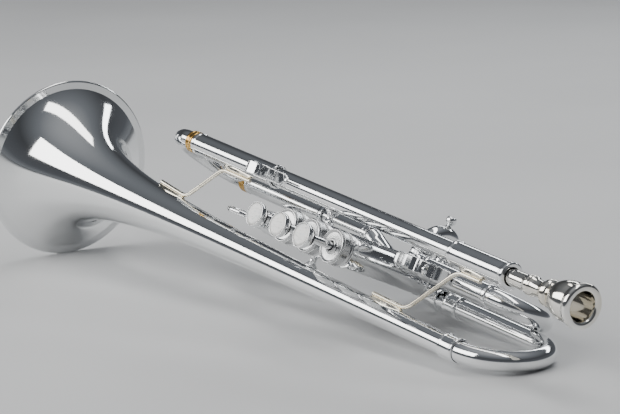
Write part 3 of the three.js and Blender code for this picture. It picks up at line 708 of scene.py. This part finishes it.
pts = [a1 + d1 * (S1 - 1), a1 + d1 * (S1 + 1)] + arc(a1 + d1 * (S1 + 3), b1 + d1 * (S1 + 3), d1, 40) + [b1 + d1 * (S1 + 1), b1 + d1 * (S1 - 1)]
sweep(m, pts, 6.45, 5.3, 48)
for leg in (a1, b1):
    p = [(6.3, S0), (6.9, S0), (7.4, S0 + 0.5), (7.4, S0 + 2.6), (7.0, S0 + 3.2), (7.0, S1 - 2.2), (7.45, S1 - 1.6), (7.5, S1), (7.3, S1 + 1.4), (6.5, S1 + 1.7), (6.3, S1 - 1)]
    lathe(m, fillet(p, 0.4), leg, d1, 64)
make("first_slide_crook", m, SILVER, "first_valve_slide", ["first_slide"])
valve_slide("third_slide", THIRD, AF, PITCH, 8.2, 89, 106, 4.8, "third_valve_slide")
valve_slide("second_slide", SECOND, SECOND_DIR, 0.0, 9.2, 16, 19.4, 1.6, "second_valve_slide", knob, 2.6)

# thumb saddle
m = Mesh()
path = [(-79.4, -51.6), (-74, -51.6), (-69, -51.4), (-60, -51.5), (-50, -51.5), (-45.4, -50.6), (-42.6, -48.2), (-41.2, -44.5), (-40.6, -40.5), (-40.2, -36.8)]
dense = []
for (a, b), (c, e) in zip(path, path[1:]):
    dense += [(a + (c - a) * k / 4, b + (e - b) * k / 4) for k in range(4)]
dense.append(path[-1])
strap(m, dense, -8, 9.0, 1.5, (2.5, 4.0), 0.6)
path = [(-62, -51.3), (-64.6, -50.2), (-66.8, -48.2), (-68.2, -45), (-69.0, -41), (-69.2, -37.2)]
dense = []
for (a, b), (c, e) in zip(path, path[1:]):
    dense += [(a + (c - a) * k / 4, b + (e - b) * k / 4) for k in range(4)]
dense.append(path[-1])
strap(m, dense, -8, 9.0, 1.5, (0, 4.0), 0.6)
make("first_slide_thumb_cradle", m, SILVER, "first_valve_slide", ["first_slide_thumb_saddle"])
# third slide finger ring
m = Mesh()
ring = [V(118.6 + 11.2 * math.cos(2 * math.pi * k / 64), 6, -36.4 + 11.2 * math.sin(2 * math.pi * k / 64)) for k in range(64)]
verts, faces = [], []
for k, c in enumerate(ring):
    t = 2 * math.pi * k / 64
    e = V(math.cos(t), 0, math.sin(t))
    for j in range(20):
        g = 2 * math.pi * j / 20
        verts.append(c + e * 1.35 * math.cos(g) + AL * 2.0 * math.sin(g) * 0.85)
for k in range(64):
    for j in range(20):
        faces.append((k * 20 + j, k * 20 + (j + 1) % 20, ((k + 1) % 64) * 20 + (j + 1) % 20, ((k + 1) % 64) * 20 + j))
m.add(verts, faces)
lathe(m, fillet([(0, 7.0), (2.6, 7.0), (1.7, 8.6), (1.8, 10.9), (0, 10.9)], 0.5, closed=False), V(118.6, *THIRD[0]), AU, 28)
make("third_slide_ring", m, SILVER, "third_valve_slide", ["third_slide_finger_ring"])

# ---------------------------------------------------------------- braces
U0 = -32.0
m = Mesh()
l = lambda f: BELL[0] - bellR(f) - 2.3
path = bent([V(216, l(216), U0), V(200, l(200), U0), V(183, l(183), U0), V(155, LEAD[0] + 9.7, U0), V(122, LEAD[0] + 9.7, U0)], 5, 12)
sweep(m, path, 1.35, 0, 24, dome=0.8)
saddle(m, BELL, lambda f: bellR(f) + 0.05, 201, math.pi, 17, 4.8, 1.5, power=1.5)
saddle(m, LEAD, 7.05, 138, 0.0, 17, 4.4, 1.4, power=1.5)
make("front_brace_rod", m, WARM, ROOT, ["front_brace"])
m = Mesh()
l = lambda f: BELL[0] - bellR(f) - 2.4
path = bent([V(-41, l(-41), U0), V(-58, l(-58), U0), V(-75, l(-75), U0), V(-107, LEAD[0] + 9.9, U0), V(-129, LEAD[0] + 9.9, U0)], 6, 12)
sweep(m, path, 1.35, 0, 24, dome=0.8)
saddle(m, BELL, lambda f: bellR(f) + 0.05, -56, math.pi, 17, 4.4, 1.4, power=1.5)
saddle(m, LEAD, 7.35, -120, 0.0, 13, 4.4, 1.4, power=1.5)
make("rear_brace_rod", m, WARM, ROOT, ["rear_brace"])
for name, node, a, b in (("leadpipe_valve_post", "leadpipe_valve_brace", -18.3, -9.6), ("bell_valve_post", "bell_valve_brace", 9.6, 18.7)):
    m = Mesh()
    h = (b - a)
    p = [(0, a), (4.2, a), (4.3, a + 0.8), (3.2, a + 1.7), (2.3, a + 3.0), (2.0, a + h / 2), (2.3, b - 3.0), (3.2, b - 1.7), (4.3, b - 0.8), (4.2, b), (0, b)]
    lathe(m, fillet(p, 0.7, closed=False), V(PITCH, 0, -31), AL, 40)
    make(name, m, SILVER, ROOT, [node])

# ---------------------------------------------------------------- stage
fm, nt, b, co = new_mat("pale_floor")
nt.links.new(ramp(nt, noise(nt, co, 3.0, 3.0, 0.5), [(0.3, (0.66, 0.665, 0.67)), (0.7, (0.71, 0.715, 0.72))]), b.inputs["Base Color"])
b.inputs["Roughness"].default_value = 0.55
fme = bpy.data.meshes.new("floor")
S = 40.0
fme.from_pydata([(-S, -S, 0), (S, -S, 0), (S, S, 0), (-S, S, 0)], [], [(0, 1, 2, 3)])
fme.materials.append(fm)
floor = bpy.data.objects.new("floor", fme)
bpy.context.scene.collection.objects.link(floor)

w = bpy.data.worlds.new("studio")
w.use_nodes = True
bpy.context.scene.world = w
nt = w.node_tree
nt.nodes.clear()
wo = nt.nodes.new("ShaderNodeOutputWorld")
bg = nt.nodes.new("ShaderNodeBackground")
tc = nt.nodes.new("ShaderNodeTexCoord")
sep = nt.nodes.new("ShaderNodeSeparateXYZ")
nt.links.new(tc.outputs["Generated"], sep.inputs[0])
grad = ramp(nt, sep.outputs["Z"], [(0.0, (0.34, 0.36, 0.39)), (0.10, (0.16, 0.17, 0.19)), (0.42, (0.10, 0.105, 0.115)), (0.75, (0.30, 0.32, 0.35)), (1.0, (0.62, 0.64, 0.67))])
nt.links.new(grad, bg.inputs["Color"])
bg.inputs["Strength"].default_value = 0.55
nt.links.new(bg.outputs[0], wo.inputs[0])


def area(name, loc, target, sx, sy, power, color=(1, 1, 1)):
    ld = bpy.data.lights.new(name, "AREA")
    ld.shape = "RECTANGLE"
    ld.size, ld.size_y, ld.energy, ld.color = sx, sy, power, color
    lo = bpy.data.objects.new(name, ld)
    bpy.context.scene.collection.objects.link(lo)
    lo.location = loc
    dirv = Vector(target) - Vector(loc)
    lo.rotation_euler = dirv.to_track_quat("-Z", "Y").to_euler()
    return lo


area("bell_side_softbox", (-1.25, -1.28, 0.98), (-1.25, 0.0, 0.22), 3.2, 0.86, 46.0, (1.0, 0.995, 0.98))
area("top_softbox", (0.1, 0.35, 1.7), (0.0, 0.0, 0.05), 2.4, 0.40, 13.0, (1.0, 0.99, 0.97))
area("rim_strip", (-0.6, 1.4, 0.8), (0.0, 0.0, 0.05), 1.6, 0.20, 6.0, (0.95, 0.98, 1.0))

import json
